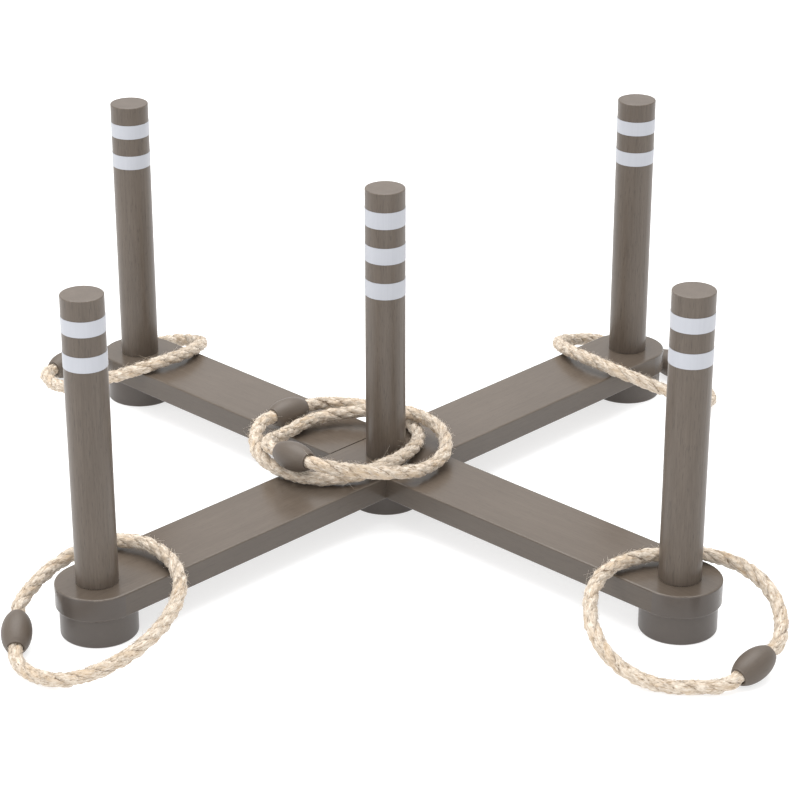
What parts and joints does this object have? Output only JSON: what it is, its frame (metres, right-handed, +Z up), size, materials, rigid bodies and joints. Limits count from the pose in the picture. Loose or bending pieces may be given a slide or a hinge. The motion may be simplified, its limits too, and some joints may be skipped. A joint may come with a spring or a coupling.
{
  "type": "ring toss set",
  "caption": "Garden ring toss: a cross of two lapped boards on round feet with upright banded pegs, and rope rings closed by olive beads.",
  "frame": {"origin": "middle of the cross on the ground, on the axis of the middle peg", "axes": "+X along the lower board towards the right peg, +Y along the upper board towards the back peg, +Z up along the pegs"},
  "size_m": [0.7218, 0.6865, 0.244],
  "materials": {
    "painted_wood": "satin grey-brown stain over fine straight grain",
    "white_band": "satin white, slightly cool",
    "rope": "matte natural cream, three twisted strands with stray fibres",
    "brass": "machined",
    "steel": "zinc-plated"
  },
  "bodies": {
    "base": {"lower_board": "painted_wood", "foot_right": "painted_wood", "foot_left": "painted_wood", "foot_center": "painted_wood", "bolts_lower": "steel", "washers_lower": "steel"},
    "cross_board": {"upper_board": "painted_wood", "foot_front": "painted_wood", "foot_back": "painted_wood", "bolts_upper": "steel", "washers_upper": "steel"},
    "post_front": {"peg_front": "painted_wood", "bands_front": "white_band", "insert_front": "brass"},
    "post_right": {"peg_right": "painted_wood", "bands_right": "white_band", "insert_right": "brass"},
    "post_back": {"peg_back": "painted_wood", "bands_back": "white_band", "insert_back": "brass"},
    "post_left": {"peg_left": "painted_wood", "bands_left": "white_band", "insert_left": "brass"},
    "post_center": {"peg_center": "painted_wood", "bands_center": "white_band", "insert_center": "brass"},
    "ring_front": {"rope_front": "rope", "bead_front": "painted_wood"},
    "ring_right": {"rope_right": "rope", "bead_right": "painted_wood"},
    "ring_back": {"rope_back": "rope", "bead_back": "painted_wood"},
    "ring_left": {"rope_left": "rope", "bead_left": "painted_wood"},
    "ring_center_low": {"rope_center_low": "rope", "bead_center_low": "painted_wood"},
    "ring_center_top": {"rope_center_top": "rope", "bead_center_top": "painted_wood"}
  },
  "joints": [
    {"name": "cross_board_lift", "type": "slide", "parent": "base", "child": "cross_board", "axis": [0, 0, 1], "range_m": [0, 0.03]},
    {"name": "post_front_lift", "type": "slide", "parent": "cross_board", "child": "post_front", "axis": [0, 0, 1], "range_m": [0, 0.03]},
    {"name": "post_right_lift", "type": "slide", "parent": "base", "child": "post_right", "axis": [0, 0, 1], "range_m": [0, 0.03]},
    {"name": "post_back_lift", "type": "slide", "parent": "cross_board", "child": "post_back", "axis": [0, 0, 1], "range_m": [0, 0.03]},
    {"name": "post_left_lift", "type": "slide", "parent": "base", "child": "post_left", "axis": [0, 0, 1], "range_m": [0, 0.03]},
    {"name": "post_center_lift", "type": "slide", "parent": "cross_board", "child": "post_center", "axis": [0, 0, 1], "range_m": [0, 0.03]},
    {"name": "ring_front_lift", "type": "slide", "parent": "cross_board", "child": "ring_front", "axis": [0, 0, 1], "range_m": [0, 0.26]},
    {"name": "ring_right_lift", "type": "slide", "parent": "base", "child": "ring_right", "axis": [0, 0, 1], "range_m": [0, 0.26]},
    {"name": "ring_back_lift", "type": "slide", "parent": "cross_board", "child": "ring_back", "axis": [0, 0, 1], "range_m": [0, 0.26]},
    {"name": "ring_left_lift", "type": "slide", "parent": "base", "child": "ring_left", "axis": [0, 0, 1], "range_m": [0, 0.26]},
    {"name": "ring_center_low_lift", "type": "slide", "parent": "cross_board", "child": "ring_center_low", "axis": [0, 0, 1], "range_m": [0, 0.26]},
    {"name": "ring_center_top_lift", "type": "slide", "parent": "ring_center_low", "child": "ring_center_top", "axis": [0, 0, 1], "range_m": [0, 0.26]}
  ]
}
